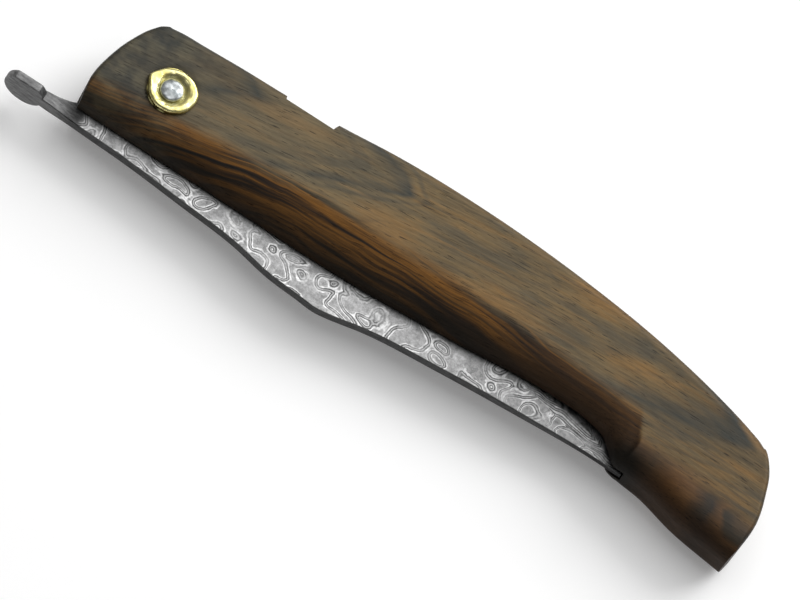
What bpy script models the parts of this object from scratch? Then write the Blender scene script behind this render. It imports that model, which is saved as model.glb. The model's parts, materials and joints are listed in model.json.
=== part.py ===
"""Folding straight razor, lying on its rear side with the blade closed.

Nine pieces: two carved wooden scales, the wedge that joins them at the butt, a forged blade with
its tang and tail, a peened pivot pin, two dished brass collars and two thin washers.

Frame: metres, +Z up out of the front scale, +X from the pivot to the butt, and +Y from the blade's
spine to the handle's back. Every shape is drawn about the pivot axis at mid thickness, and the
finished pieces then move together, so that the origin is the middle of the razor's footprint.
"""

import bmesh
import bpy
import numpy as np
from math import pi
from mathutils import Vector

MM = 0.001

# Thicknesses, measured from the middle plane.
HALF_THICKNESS = 7.0 * MM  # to the outer face of a scale
HALF_SLOT = 1.9 * MM  # to the inner face of a scale
HALF_BLADE = 1.3 * MM  # to the flat of the spine and tang
HALF_NECK = 1.7 * MM  # to the side of the neck, where it meets the tail
HALF_EDGE = 0.12 * MM  # to the side of the cutting edge
GLUE_LINE = 0.05 * MM  # between the wedge and each scale

# Pivot.
PIN_RADIUS = 1.98 * MM
PIN_HEAD_RADIUS = 2.4 * MM
PIN_HEAD_SEAT = 0.42 * MM  # underside of the peened head, above the scale's face
PIN_HEAD_RISE = 1.1 * MM  # crown of the peened head, above the scale's face
BORE_RADIUS = 2.06 * MM  # of every hole that the pin passes
COLLAR_RADIUS = 5.1 * MM
COLLAR_BEAD_RADIUS = 4.5 * MM  # circle along which the collar stands highest
COLLAR_RISE = 1.3 * MM  # bead above the scale's face
COLLAR_SEAT_DEPTH = 0.5 * MM  # counterbore in the scale
COLLAR_GAP = 0.06 * MM  # round and under the collar
WASHER_RADIUS = 5.6 * MM
WASHER_THICKNESS = 0.4 * MM
TURNED_SIDES = 32

# Tail: a round thumb rest, square to the blade, that lies in the notch when the razor is open.
TAIL_RADIUS = 4.55 * MM
TAIL_CENTRE_X = -24.75 * MM
TAIL_INNER_Y = -12.6 * MM
TAIL_OUTER_Y = -14.55 * MM
TAIL_BEVEL = 0.35 * MM
NECK_FLARE = (-13.0 * MM, -20.0 * MM)  # X where the neck starts and stops widening
NOTCH_FLOOR = (20.0, 31.2)  # X where the floor starts and ends, in millimetres
NOTCH_MOUTH = (18.6, 33.0)  # the same at NOTCH_MOUTH_Y
NOTCH_FLOOR_Y = 12.45
NOTCH_MOUTH_Y = 18.0

# Edges of a scale.
BACK_ROUND = 2.0 * MM
END_ROUND = 1.2 * MM
CHEEK_DROP = 4.5 * MM  # fall of the carved cheek, from the outer face to the lip
BUTT_ROUND = 6.0 * MM  # width of the butt's lower rounding
BUTT_DROP = 5.0 * MM  # fall of the butt's lower rounding
BUTT_BLEND = (106.0 * MM, 116.0 * MM)  # X where that rounding fades in
HOLLOW_END_X = 116.7 * MM  # foot of the wall that ends the carved cheek
HOLLOW_END_LEAN = 3.0 * MM  # how far the wall's top corner stands before its foot
HOLLOW_END_RUN = 3.2 * MM  # length of the wall's concave foot
WEDGE_START_X = 117.15  # in millimetres

# Outlines in the middle plane, in millimetres from the pivot axis: a smooth curve through each.
BACK_LINE = [(-7.0, 12.45), (-4.5, 12.8), (0, 13.0), (10, 13.5), (20, 13.8), (32, 14.6), (45, 15.9), (68, 16.5),
             (90, 15.4), (110, 13.0), (126, 9.7), (135, 7.1), (138.1, 5.8)]
BUTT_END = [(138.1, 5.8), (139.6, 4.4), (141.1, 2.5), (143.3, -3.0), (144.7, -9.5), (144.5, -14.5), (143.7, -18.6)]
LOWER_LINE = [(-14.0, -12.0), (20, -11.9), (50, -11.7), (75, -10.0), (97, -8.2), (106, -8.7),
              (109.8, -9.8), (112, -11.7), (113.8, -13.5), (117, -14.05), (122, -14.6),
              (131, -16.85), (143.7, -18.6)]
FRONT_END = [(-14.0, -12.0), (-15.0, -6.0), (-14.2, -0.3), (-12.3, 5.6), (-10.0, 9.9),
             (-8.6, 11.5), (-7.0, 12.45)]
CREST_LINE = [(-15, -6.1), (12, -5.0), (20, -3.4), (40, -1.75), (60, -1.3), (80, -1.3), (100, -1.75),
              (114, -2.9), (150, -2.9)]
SPINE_LINE = [(-21.0, -14.55), (-10, -15.0), (0, -15.35), (14, -16.4), (27, -17.5), (36.5, -19.3),
              (43, -19.75), (48.2, -20.04), (50.4, -19.7), (58, -18.05), (75, -16.2), (95, -14.75),
              (108, -14.1), (116.8, -14.15)]
INNER_LINE = [(-21.0, -12.4), (-17.5, -11.9), (-14.2, -10.6), (-10.5, -7.0), (-6.0, 1.5), (0, 6.2),
              (5.5, 3.4), (10, -2.3), (16, -4.6), (22, -4.0), (25.5, -0.6), (28.5, 1.0), (50, 1.6),
              (90, 1.6), (106, 0.6), (113, -3.5), (116.1, -9.5), (116.8, -13.2)]
GRIND_LINE = [(-21, -8.0), (70, -8.0), (92, -8.2), (103, -9.4), (110, -11.2), (116.8, -13.7)]
SHOULDER = (20.0 * MM, 30.0 * MM)  # X where the flat tang turns into the hollow-ground blade

# Places along and across each loft: (start, end, number of steps) for each stretch.
SCALE_ALONG = [(0, 0.008, 3), (0.008, 0.16, 10), (0.16, 0.76, 32), (0.76, 0.86, 24), (0.86, 0.985, 10),
               (0.985, 1, 3)]
SCALE_ACROSS = [(0, 0.04, 3), (0.04, 0.36, 8), (0.36, 0.92, 3), (0.92, 1, 4)]
BLADE_ALONG = [(-21.0, -14.0, 5), (-14.0, 32.0, 32), (32.0, 104.0, 24), (104.0, 116.8, 14)]
BLADE_FLAT_STEPS = 2
BLADE_GRIND_STEPS = 7


def places(stretches):
    """Return the places along a run of (start, end, number of steps) stretches."""
    runs = [np.linspace(start, end, steps, endpoint=False) for start, end, steps in stretches]
    return np.append(np.concatenate(runs), stretches[-1][1])


def curve_through(points, at):
    """Read a smooth curve through (place, value) points in millimetres at places in metres."""
    table = np.array(sorted(points)) * MM
    knots, values = table[:, 0], table[:, 1]
    slopes = np.gradient(values, knots)
    low = np.clip(np.searchsorted(knots, at) - 1, 0, len(knots) - 2)
    span = knots[low + 1] - knots[low]
    t = np.clip((at - knots[low]) / span, 0, 1)
    return ((1 + 2 * t) * (1 - t) ** 2 * values[low] + t * (1 - t) ** 2 * span * slopes[low]
            + t * t * (3 - 2 * t) * values[low + 1] - t * t * (1 - t) * span * slopes[low + 1])


def flipped(points):
    """Swap the two values of each point."""
    return [(y, x) for x, y in points]


def fade(values, start, end):
    """Go smoothly from 0 at start to 1 at end."""
    t = np.clip((values - start) / (end - start), 0, 1)
    return t * t * (3 - 2 * t)


def rounding(distance, width, drop):
    """Fall of a convex quarter ellipse that is width wide and drop deep, at distance from its foot."""
    t = np.clip(distance / width, 0, 1)
    return drop * (1 - np.sqrt(1 - (1 - t) ** 2))


def distance_to(points, line):
    """Distance from each point of a grid to a polyline."""
    start, leg = line[:-1], np.diff(line, axis=0)
    offset = points[..., None, :] - start
    along = np.clip(np.sum(offset * leg, axis=-1) / np.sum(leg * leg, axis=-1), 0, 1)
    return np.min(np.linalg.norm(offset - along[..., None] * leg, axis=-1), axis=-1)


def scale_edges(along, across):
    """Return a scale's lower, back, front and butt edges as lines of points."""
    lower_x = (LOWER_LINE[0][0] + (LOWER_LINE[-1][0] - LOWER_LINE[0][0]) * along) * MM
    back_x = (BACK_LINE[0][0] + (BACK_LINE[-1][0] - BACK_LINE[0][0]) * along) * MM
    front_y = (FRONT_END[0][1] + (FRONT_END[-1][1] - FRONT_END[0][1]) * across) * MM
    butt_y = (BUTT_END[-1][1] + (BUTT_END[0][1] - BUTT_END[-1][1]) * across) * MM
    return (np.column_stack([lower_x, curve_through(LOWER_LINE, lower_x)]),
            np.column_stack([back_x, curve_through(BACK_LINE, back_x)]),
            np.column_stack([curve_through(flipped(FRONT_END), front_y), front_y]),
            np.column_stack([curve_through(flipped(BUTT_END), butt_y), butt_y]))


def filled_grid(lower, back, front, butt, along, across):
    """Fill four edges with a grid of points that blends from each edge to its opposite."""
    u, v = along[None, :, None], across[:, None, None]
    from_lower = (1 - v) * lower[None] + v * back[None]
    from_front = (1 - u) * front[:, None] + u * butt[:, None]
    corners = ((1 - u) * (1 - v) * lower[0] + u * (1 - v) * lower[-1]
               + (1 - u) * v * back[0] + u * v * back[-1])
    return from_lower + from_front - corners


def outer_height(grid):
    """Height of a scale's outer surface over each point of a grid."""
    fine = np.linspace(0, 1, 400)
    lower, back, front, butt = [distance_to(grid, line) for line in scale_edges(fine, fine)]
    x, y = grid[..., 0], grid[..., 1]
    lean = np.clip((y + 14 * MM) / (11.5 * MM), 0, 1) ** 3
    wall = np.clip((HOLLOW_END_X - HOLLOW_END_LEAN * lean - x) / HOLLOW_END_RUN, 0, 1)
    lip = curve_through(LOWER_LINE, x)
    hollow = rounding(y - lip, curve_through(CREST_LINE, x) - lip, CHEEK_DROP)
    hollow = hollow * (1 - (1 - wall) ** 2.5)
    butt_side = rounding(lower, BUTT_ROUND, BUTT_DROP) * fade(x, *BUTT_BLEND)
    falls = [hollow, butt_side, rounding(back, BACK_ROUND, BACK_ROUND),
             rounding(front, END_ROUND, END_ROUND), rounding(butt, END_ROUND, END_ROUND)]
    return HALF_THICKNESS - np.max(falls, axis=0)


def add_mesh(name, points, faces, collection):
    """Make an object from points and faces, shaded smooth with crisp edges."""
    mesh = bpy.data.meshes.new(name)
    mesh.from_pydata([tuple(point) for point in points], [], faces)
    mesh.shade_smooth()
    mesh.set_sharp_from_angle(angle=0.6)
    piece = bpy.data.objects.new(name, mesh)
    collection.objects.link(piece)
    return piece


def loft_over(grid, heights, foot):
    """Points and faces of a grid raised to its heights, with walls down to the level foot.

    The last item is the ring of point numbers along the walls' feet.
    """
    rows, columns = heights.shape
    points = list(np.dstack([grid, heights]).reshape(-1, 3))
    number = np.arange(rows * columns).reshape(rows, columns)
    faces = [(number[r, c], number[r, c + 1], number[r + 1, c + 1], number[r + 1, c])
             for r in range(rows - 1) for c in range(columns - 1)]
    rim = np.concatenate([number[0, :-1], number[:-1, -1], number[-1, :0:-1], number[:0:-1, 0]])
    ring = [len(points) + n for n in range(len(rim))]
    points += [(points[top][0], points[top][1], foot) for top in rim]
    for n, top in enumerate(rim):
        after = (n + 1) % len(rim)
        faces.append((top, ring[n], ring[after], rim[after]))
    return points, faces, ring


def make_scale(name, side, collection, cutters):
    """A wooden scale. side is 1 for the front one and -1 for the rear one."""
    along, across = places(SCALE_ALONG), places(SCALE_ACROSS)
    grid = filled_grid(*scale_edges(along, across), along, across)
    points, faces, ring = loft_over(grid, outer_height(grid), HALF_SLOT)
    faces.append(tuple(reversed(ring)))
    points = [(x, y, side * z) for x, y, z in points]
    faces = [tuple(int(n) for n in face[::side]) for face in faces]
    scale = add_mesh(name, points, faces, collection)
    for cutter in cutters:
        cut(scale, cutter)
    return scale


def cut(piece, cutter, operation="DIFFERENCE"):
    """Cut a piece with a cutter, or join the two with operation UNION."""
    boolean = piece.modifiers.new(cutter.name, "BOOLEAN")
    boolean.operation = operation
    boolean.solver = "EXACT"
    boolean.object = cutter


def half_thickness(x, y, grind, inner):
    """Half of the blade's thickness over each point."""
    to_edge = np.clip((y - grind) / (inner - grind), 0, 1)
    ground = HALF_EDGE + (HALF_BLADE - HALF_EDGE) * (1 - to_edge) ** 2
    blade = HALF_BLADE + (ground - HALF_BLADE) * fade(x, *SHOULDER)
    return blade + (HALF_NECK - HALF_BLADE) * fade(x, *NECK_FLARE)


def make_blade(collection, tail, bore):
    """The forging: hollow-ground blade, tang and neck, joined to the tail and bored for the pin."""
    x = places(BLADE_ALONG) * MM
    spine, inner = curve_through(SPINE_LINE, x), curve_through(INNER_LINE, x)
    grind = np.minimum(curve_through(GRIND_LINE, x), (spine + inner) / 2)
    flat = np.linspace(0, 1, BLADE_FLAT_STEPS, endpoint=False)[:, None]
    ground = np.linspace(0, 1, BLADE_GRIND_STEPS + 1)[:, None]
    y = np.vstack([spine + (grind - spine) * flat, grind + (inner - grind) * ground])
    heights = half_thickness(x, y, grind, inner)
    grid = np.dstack([np.broadcast_to(x, y.shape), y])
    points, faces, _ = loft_over(grid, heights, 0.0)
    faces = [tuple(int(n) for n in face) for face in faces]
    blade = add_mesh("blade", points, faces, collection)
    mirror = blade.modifiers.new("both_sides", "MIRROR")
    mirror.use_axis = (False, False, True)
    mirror.merge_threshold = 0.00001
    cut(blade, tail, "UNION")
    cut(blade, bore)
    return blade


def make_tail(collection):
    """The round thumb rest, square to the blade."""
    bpy.ops.mesh.primitive_cylinder_add(
        vertices=TURNED_SIDES, radius=TAIL_RADIUS, depth=TAIL_INNER_Y - TAIL_OUTER_Y,
        location=(TAIL_CENTRE_X, (TAIL_INNER_Y + TAIL_OUTER_Y) / 2, 0), rotation=(pi / 2, 0, 0))
    tail = bpy.context.object
    tail.name = "tail"
    bevel = tail.modifiers.new("rim", "BEVEL")
    bevel.width = TAIL_BEVEL
    bevel.segments = 2
    move_to(tail, collection)
    return tail


def make_cylinder(name, radius, low, high, collection):
    """A cylinder on the pivot axis, as a cutter."""
    bpy.ops.mesh.primitive_cylinder_add(
        vertices=TURNED_SIDES, radius=radius, depth=high - low, location=(0, 0, (low + high) / 2))
    cylinder = bpy.context.object
    cylinder.name = name
    move_to(cylinder, collection)
    return cylinder


def move_to(piece, collection):
    """Leave a piece in one collection only."""
    for other in list(piece.users_collection):
        other.objects.unlink(piece)
    collection.objects.link(piece)


def make_outline(name, outline, half_height, collection):
    """A flat outline in millimetres, extruded by half_height either side of the middle plane."""
    curve = bpy.data.curves.new(name, "CURVE")
    curve.dimensions = "2D"
    curve.fill_mode = "BOTH"
    curve.extrude = half_height
    spline = curve.splines.new("POLY")
    spline.points.add(len(outline) - 1)
    for point, (x, y) in zip(spline.points, outline):
        point.co = (x * MM, y * MM, 0, 1)
    spline.use_cyclic_u = True
    guide = bpy.data.objects.new(name, curve)
    collection.objects.link(guide)
    bpy.context.view_layer.update()
    mesh = bpy.data.meshes.new_from_object(guide.evaluated_get(bpy.context.evaluated_depsgraph_get()))
    bpy.data.objects.remove(guide)
    form = bmesh.new()
    form.from_mesh(mesh)
    bmesh.ops.remove_doubles(form, verts=form.verts, dist=0.000001)
    bmesh.ops.recalc_face_normals(form, faces=form.faces)
    form.to_mesh(mesh)
    form.free()
    piece = bpy.data.objects.new(name, mesh)
    collection.objects.link(piece)
    return piece


def make_wedge(collection):
    """The wedge between the scales, flush with the butt's outline all round."""
    back_x = np.linspace(WEDGE_START_X, BACK_LINE[-1][0], 12)
    butt_y = np.linspace(BUTT_END[0][1], BUTT_END[-1][1], 14)[1:-1]
    lower_x = np.linspace(LOWER_LINE[-1][0], WEDGE_START_X, 12)
    outline = list(zip(back_x, curve_through(BACK_LINE, back_x * MM) / MM))
    outline += list(zip(curve_through(flipped(BUTT_END), butt_y * MM) / MM, butt_y))
    outline += list(zip(lower_x, curve_through(LOWER_LINE, lower_x * MM) / MM))
    return make_outline("butt_wedge", outline, HALF_SLOT - GLUE_LINE, collection)


def make_notch(collection):
    """The cutter for the notch in the handle's back, as wide as the whole handle."""
    outline = [(NOTCH_MOUTH[0], NOTCH_MOUTH_Y), (NOTCH_FLOOR[0], NOTCH_FLOOR_Y),
               (NOTCH_FLOOR[1], NOTCH_FLOOR_Y), (NOTCH_MOUTH[1], NOTCH_MOUTH_Y)]
    return make_outline("notch", outline, 2 * HALF_THICKNESS, collection)


def make_turned(name, profile, collection, closed=False):
    """A turned piece: a profile of (radius, height) points, from its top down its outer side."""
    edges = [(n, n + 1) for n in range(len(profile) - 1)]
    if closed:
        edges.append((len(profile) - 1, 0))
    mesh = bpy.data.meshes.new(name)
    mesh.from_pydata([(radius, 0, height) for radius, height in profile], edges, [])
    piece = bpy.data.objects.new(name, mesh)
    collection.objects.link(piece)
    screw = piece.modifiers.new("turn", "SCREW")
    screw.steps = TURNED_SIDES
    screw.render_steps = TURNED_SIDES
    screw.use_smooth_shade = True
    screw.use_merge_vertices = True
    screw.merge_threshold = 0.00001
    return piece


def make_pin(collection):
    """The pivot pin, with a peened dome at each end."""
    face = HALF_THICKNESS
    brow = PIN_HEAD_SEAT + 0.13 * MM
    dome = [(PIN_HEAD_RADIUS * np.sin(a), face + brow + (PIN_HEAD_RISE - brow) * np.cos(a))
            for a in np.linspace(0, pi / 2, 7)]
    dome[0] = (0.0, face + PIN_HEAD_RISE)
    upper = dome + [(PIN_HEAD_RADIUS, face + PIN_HEAD_SEAT), (PIN_RADIUS, face + PIN_HEAD_SEAT)]
    lower = [(radius, -height) for radius, height in reversed(upper)]
    return make_turned("pivot_pin", upper + lower, collection)


def make_collar(name, side, collection):
    """A dished brass collar, sunk into its scale. side is 1 at the front and -1 at the rear."""
    face = HALF_THICKNESS
    seat = -COLLAR_SEAT_DEPTH + COLLAR_GAP
    rim = COLLAR_RADIUS - COLLAR_GAP
    section = [(BORE_RADIUS, 0.25 * MM), (2.6 * MM, 0.32 * MM), (3.5 * MM, 0.75 * MM),
               (4.15 * MM, 1.15 * MM), (COLLAR_BEAD_RADIUS, COLLAR_RISE), (4.8 * MM, 1.15 * MM),
               (rim, 0.8 * MM), (rim, seat), (BORE_RADIUS, seat)]
    profile = [(radius, side * (face + height)) for radius, height in section]
    return make_turned(name, profile[::side], collection, closed=True)


def make_washer(name, side, collection):
    """A thin washer between the tang and a scale."""
    middle = (HALF_BLADE + HALF_SLOT) / 2
    top, base = middle + WASHER_THICKNESS / 2, middle - WASHER_THICKNESS / 2
    section = [(BORE_RADIUS, top), (WASHER_RADIUS, top), (WASHER_RADIUS, base), (BORE_RADIUS, base)]
    profile = [(radius, side * height) for radius, height in section]
    return make_turned(name, profile[::side], collection, closed=True)


def add_material(piece, color, roughness, metallic):
    """Give a piece a material of its own."""
    material = bpy.data.materials.new(piece.name)
    material.use_nodes = True
    shader = material.node_tree.nodes["Principled BSDF"]
    shader.inputs["Base Color"].default_value = (*color, 1.0)
    shader.inputs["Roughness"].default_value = roughness
    shader.inputs["Metallic"].default_value = metallic
    piece.data.materials.append(material)


def settle(pieces, cutters):
    """Move every piece so that the origin is the middle of the footprint, on its lowest plane."""
    bpy.context.view_layer.update()
    graph = bpy.context.evaluated_depsgraph_get()
    corners = []
    for piece in pieces:
        corners += [piece.matrix_world @ Vector(corner) for corner in piece.evaluated_get(graph).bound_box]
    corners = np.array(corners)
    low, high = corners.min(axis=0), corners.max(axis=0)
    middle = Vector(((low[0] + high[0]) / 2, (low[1] + high[1]) / 2, low[2]))
    for piece in pieces + cutters:
        piece.location -= middle


def main():
    """Build the razor."""
    for other in list(bpy.data.objects):
        bpy.data.objects.remove(other)
    razor = bpy.data.collections.new("straight_razor")
    helpers = bpy.data.collections.new("cutters")
    bpy.context.scene.collection.children.link(razor)
    bpy.context.scene.collection.children.link(helpers)

    bore = make_cylinder("bore", BORE_RADIUS, -2 * HALF_THICKNESS, 2 * HALF_THICKNESS, helpers)
    floor = HALF_THICKNESS - COLLAR_SEAT_DEPTH
    front_seat = make_cylinder("front_seat", COLLAR_RADIUS, floor, 2 * floor, helpers)
    rear_seat = make_cylinder("rear_seat", COLLAR_RADIUS, -2 * floor, -floor, helpers)
    notch = make_notch(helpers)
    tail = make_tail(helpers)
    cutters = [bore, front_seat, rear_seat, notch, tail]
    for cutter in cutters:
        cutter.hide_render = True
        cutter.display_type = "WIRE"

    wood = [make_scale("front_scale", 1, razor, [notch, bore, front_seat]),
            make_scale("rear_scale", -1, razor, [notch, bore, rear_seat]),
            make_wedge(razor)]
    steel = [make_blade(razor, tail, bore), make_pin(razor)]
    brass = [make_collar("front_collar", 1, razor), make_collar("rear_collar", -1, razor),
             make_washer("front_washer", 1, razor), make_washer("rear_washer", -1, razor)]
    for piece in wood:
        add_material(piece, (0.24, 0.13, 0.07), 0.45, 0.0)
    for piece in steel:
        add_material(piece, (0.42, 0.43, 0.44), 0.35, 1.0)
    for piece in brass:
        add_material(piece, (0.76, 0.62, 0.34), 0.3, 1.0)
    settle(wood + steel + brass, cutters)


main()
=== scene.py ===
"""Looks of the folding straight razor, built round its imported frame.

The carved scales, the wedge, the blade, the pin and the collars get fine meshes in place of the
frame's coarse ones. They follow its outlines, apart from the collars' uneven filing, the flat on
the tail, the thinner toe of the spine and a rounder corner on the butt. Every surface has a
procedural material in millimetres from the pivot axis, at mid thickness, so its figure runs through
the piece and moves with it.
"""

import json

import bpy
import numpy as np
from mathutils import Matrix, Vector, noise


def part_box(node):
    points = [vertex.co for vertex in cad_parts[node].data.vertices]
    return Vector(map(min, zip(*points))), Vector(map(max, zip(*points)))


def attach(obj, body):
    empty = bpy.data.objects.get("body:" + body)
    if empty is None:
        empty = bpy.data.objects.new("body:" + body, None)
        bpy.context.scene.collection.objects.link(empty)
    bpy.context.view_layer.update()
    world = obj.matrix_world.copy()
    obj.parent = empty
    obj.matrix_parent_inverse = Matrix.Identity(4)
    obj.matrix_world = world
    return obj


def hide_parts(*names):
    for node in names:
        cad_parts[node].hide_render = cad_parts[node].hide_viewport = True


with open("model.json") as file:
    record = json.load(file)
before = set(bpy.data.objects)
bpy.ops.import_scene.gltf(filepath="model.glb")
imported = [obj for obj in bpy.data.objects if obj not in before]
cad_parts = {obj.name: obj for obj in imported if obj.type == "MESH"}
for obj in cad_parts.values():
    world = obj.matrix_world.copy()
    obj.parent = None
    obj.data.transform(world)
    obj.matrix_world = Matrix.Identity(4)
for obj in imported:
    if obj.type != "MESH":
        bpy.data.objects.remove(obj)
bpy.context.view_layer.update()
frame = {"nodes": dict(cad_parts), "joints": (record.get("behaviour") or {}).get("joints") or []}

MM = 0.001
PIVOT = Vector(frame["joints"][0]["pos_m"])

# Sizes and places are in millimetres from the pivot: x towards the butt, y towards the handle's
# back, z up from the middle plane.
HALF_THICKNESS = (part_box("front_scale")[1].z - PIVOT.z) / MM
HALF_SLOT = (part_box("front_scale")[0].z - PIVOT.z) / MM
COLLAR_RISE = (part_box("front_collar")[1].z - PIVOT.z) / MM - HALF_THICKNESS
PIN_RISE = (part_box("pivot_pin")[1].z - PIVOT.z) / MM - HALF_THICKNESS
HALF_BLADE = 1.3
HALF_NECK = 1.7
HALF_EDGE = 0.12

# Pivot.
PIN_RADIUS = 1.98
PIN_HEAD_RADIUS = 2.4
PIN_HEAD_SEAT = 0.42
PIN_HEAD_BROW = PIN_HEAD_SEAT + 0.13
BORE_RADIUS = 2.06
BORE_DEPTH = 10
COLLAR_SEAT_RADIUS = 5.1
COLLAR_SEAT_DEPTH = 0.5
COLLAR_RADIUS = COLLAR_SEAT_RADIUS - 0.08
COLLAR_FOOT = -0.44
COLLAR_STEP = 0.09

# Section of the collars: (radius, rise above the scale).
COLLAR_SECTION = [(BORE_RADIUS, 0.25), (2.5, 0.32), (2.8, 0.5), (3.15, 0.86), (3.5, 1.1), (3.9, 1.24),
                  (4.35, COLLAR_RISE), (4.65, 1.2), (4.88, 1.0), (COLLAR_RADIUS, 0.7),
                  (COLLAR_RADIUS, 0.04), (COLLAR_RADIUS, COLLAR_FOOT), (BORE_RADIUS, COLLAR_FOOT)]

# Tail.
TAIL_RADIUS = 4.55
TAIL_FLAT = 3.65  # from the middle plane to the flat on the tail's front
TAIL_CENTRE_X = -24.75
TAIL_INNER_Y = -12.6
TAIL_OUTER_Y = -14.55
TAIL_RIM = 0.35
NECK_FLARE = (-13.0, -20.0)

# Edges of a scale.
BACK_ROUND = 2.0
END_ROUND = 1.2
CHEEK_DROP = 4.5
BUTT_ROUND = 6.0
BUTT_DROP = 5.0
BUTT_BLEND = (106.0, 116.0)

# The wall that ends the carved hollow leans towards the pivot as it goes up to the cheek's crest.
HOLLOW_END_X = 116.7
HOLLOW_END_FOOT_Y = -14
HOLLOW_END_HEIGHT = 11.5
HOLLOW_END_LEAN = 3.0
HOLLOW_END_RUN = 2.3

# Wedge and notch, and the least wood left between a scale's surface and the slot.
LEAST_WALL = 0.05
WEDGE_START_X = 117.15
WEDGE_PLAY = 0.004
NOTCH_REACH = 9
NOTCH = [(18.6, 18.0), (20.0, 12.45), (31.2, 12.45), (33.0, 18.0)]

# Outlines in the middle plane: a smooth curve through each.
BACK_LINE = [(-7.0, 12.45), (-4.5, 12.8), (0, 13.0), (10, 13.5), (20, 13.8), (32, 14.6), (45, 15.9),
             (68, 16.5), (90, 15.4), (110, 13.0), (126, 9.7), (134, 7.45), (137.0, 6.38), (138.1, 5.8)]
BUTT_END = [(138.1, 5.8), (138.75, 5.35), (139.7, 4.4), (141.1, 2.5), (143.3, -3.0), (144.7, -9.5),
            (144.5, -14.5), (143.7, -18.6)]
LOWER_LINE = [(-14.0, -12.0), (20, -11.9), (50, -11.7), (75, -10.0), (97, -8.2), (106, -8.7),
              (109.8, -9.8), (112, -11.7), (113.8, -13.5), (117, -14.05), (122, -14.6),
              (131, -16.85), (143.7, -18.6)]
FRONT_END = [(-14.0, -12.0), (-15.0, -6.0), (-14.2, -0.3), (-12.3, 5.6), (-10.0, 9.9),
             (-8.6, 11.5), (-7.0, 12.45)]
CREST_LINE = [(-15, -6.1), (12, -5.0), (20, -3.4), (40, -1.75), (60, -1.3), (80, -1.3), (100, -1.75),
              (114, -2.9), (150, -2.9)]
SPINE_LINE = [(-21.0, -14.55), (-10, -15.0), (0, -15.35), (14, -16.4), (27, -17.5), (36.5, -19.3),
              (43, -19.75), (48.2, -20.04), (50.4, -19.7), (58, -18.05), (75, -16.2), (95, -14.75),
              (108, -14.1), (116.8, -14.15)]
INNER_LINE = [(-21.0, -12.4), (-17.5, -11.9), (-14.2, -10.6), (-10.5, -7.0), (-6.0, 1.5), (0, 6.2),
              (5.5, 3.4), (10, -2.3), (16, -4.6), (22, -4.0), (25.5, -0.6), (28.5, 1.0), (50, 1.6),
              (90, 1.6), (106, 0.6), (113, -3.5), (116.1, -9.5), (116.8, -13.2)]
GRIND_LINE = [(-21, -8.0), (70, -8.0), (92, -8.2), (103, -9.4), (110, -11.2), (116.8, -13.7)]
SHOULDER = (20.0, 30.0)  # where the hollow grind fades in
TOE = (80.0, 120.0)  # where the spine thins
TOE_THINNING = 0.5
BLADE_TOE = (115.6, -13.9)

# Places along and across each loft: (start, end, number of steps) for each stretch.
SCALE_ALONG = [(0, 0.01, 8), (0.01, 0.76, 200), (0.76, 0.86, 80), (0.86, 0.985, 40), (0.985, 1, 10)]
SCALE_ACROSS = [(0, 0.05, 12), (0.05, 0.42, 34), (0.42, 0.9, 16), (0.9, 1, 20)]
BLADE_ALONG = [(-21.0, -8.0, 30), (-8.0, 104.0, 220), (104.0, 116.8, 50)]
BLADE_FLAT_STEPS = 10
BLADE_GRIND_STEPS = 24
BLADE_EASING = 0.16

# Steepest turn between two faces that still shade as one, in radians.
WOOD_CREASE = 0.7
BLADE_CREASE = 0.35
TURNED_CREASE = 0.9

# Camera: 25 degrees off the vertical towards the blade's side, with the razor's length turned by
# 33 degrees in the picture.
VIEW_TURN = np.radians(33.0)
VIEW_TILT = np.radians(25.0)
VIEW_DISTANCE = 2.0  # metres
VIEW_WIDTH = 0.160  # metres
VIEW_CENTRE = (60.89, 7.15)  # millimetres along the razor, and across it in the picture
SENSOR = 36.0


# Curves and lofts.

def places(stretches):
    """Return the places along a run of (start, end, number of steps) stretches."""
    runs = [np.linspace(start, end, steps, endpoint=False) for start, end, steps in stretches]
    return np.append(np.concatenate(runs), stretches[-1][1])


def curve_through(points, at):
    """Read a smooth curve through (place, value) points."""
    table = np.array(sorted(points))
    knots, values = table[:, 0], table[:, 1]
    slopes = np.gradient(values, knots)
    low = np.clip(np.searchsorted(knots, at) - 1, 0, len(knots) - 2)
    span = knots[low + 1] - knots[low]
    t = np.clip((at - knots[low]) / span, 0, 1)
    return ((1 + 2 * t) * (1 - t) ** 2 * values[low] + t * (1 - t) ** 2 * span * slopes[low]
            + t * t * (3 - 2 * t) * values[low + 1] - t * t * (1 - t) * span * slopes[low + 1])


def flipped(points):
    """Swap the two values of each point."""
    return [(y, x) for x, y in points]


def fade(values, start, end):
    """Go smoothly from 0 at start to 1 at end."""
    t = np.clip((values - start) / (end - start), 0, 1)
    return t * t * (3 - 2 * t)


def rounding(distance, width, drop):
    """Fall of a convex quarter ellipse that is width wide and drop deep, at distance from its foot."""
    t = np.clip(distance / width, 0, 1)
    return drop * (1 - np.sqrt(1 - (1 - t) ** 2))


def distance_to(points, line):
    """Distance from each point of a grid to a polyline."""
    nearest = np.full(points.shape[:-1], np.inf)
    for start, end in zip(line[:-1], line[1:]):
        leg = end - start
        offset = points - start
        along = np.clip(offset @ leg / (leg @ leg), 0, 1)
        nearest = np.minimum(nearest, np.linalg.norm(offset - along[..., None] * leg, axis=-1))
    return nearest


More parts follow.
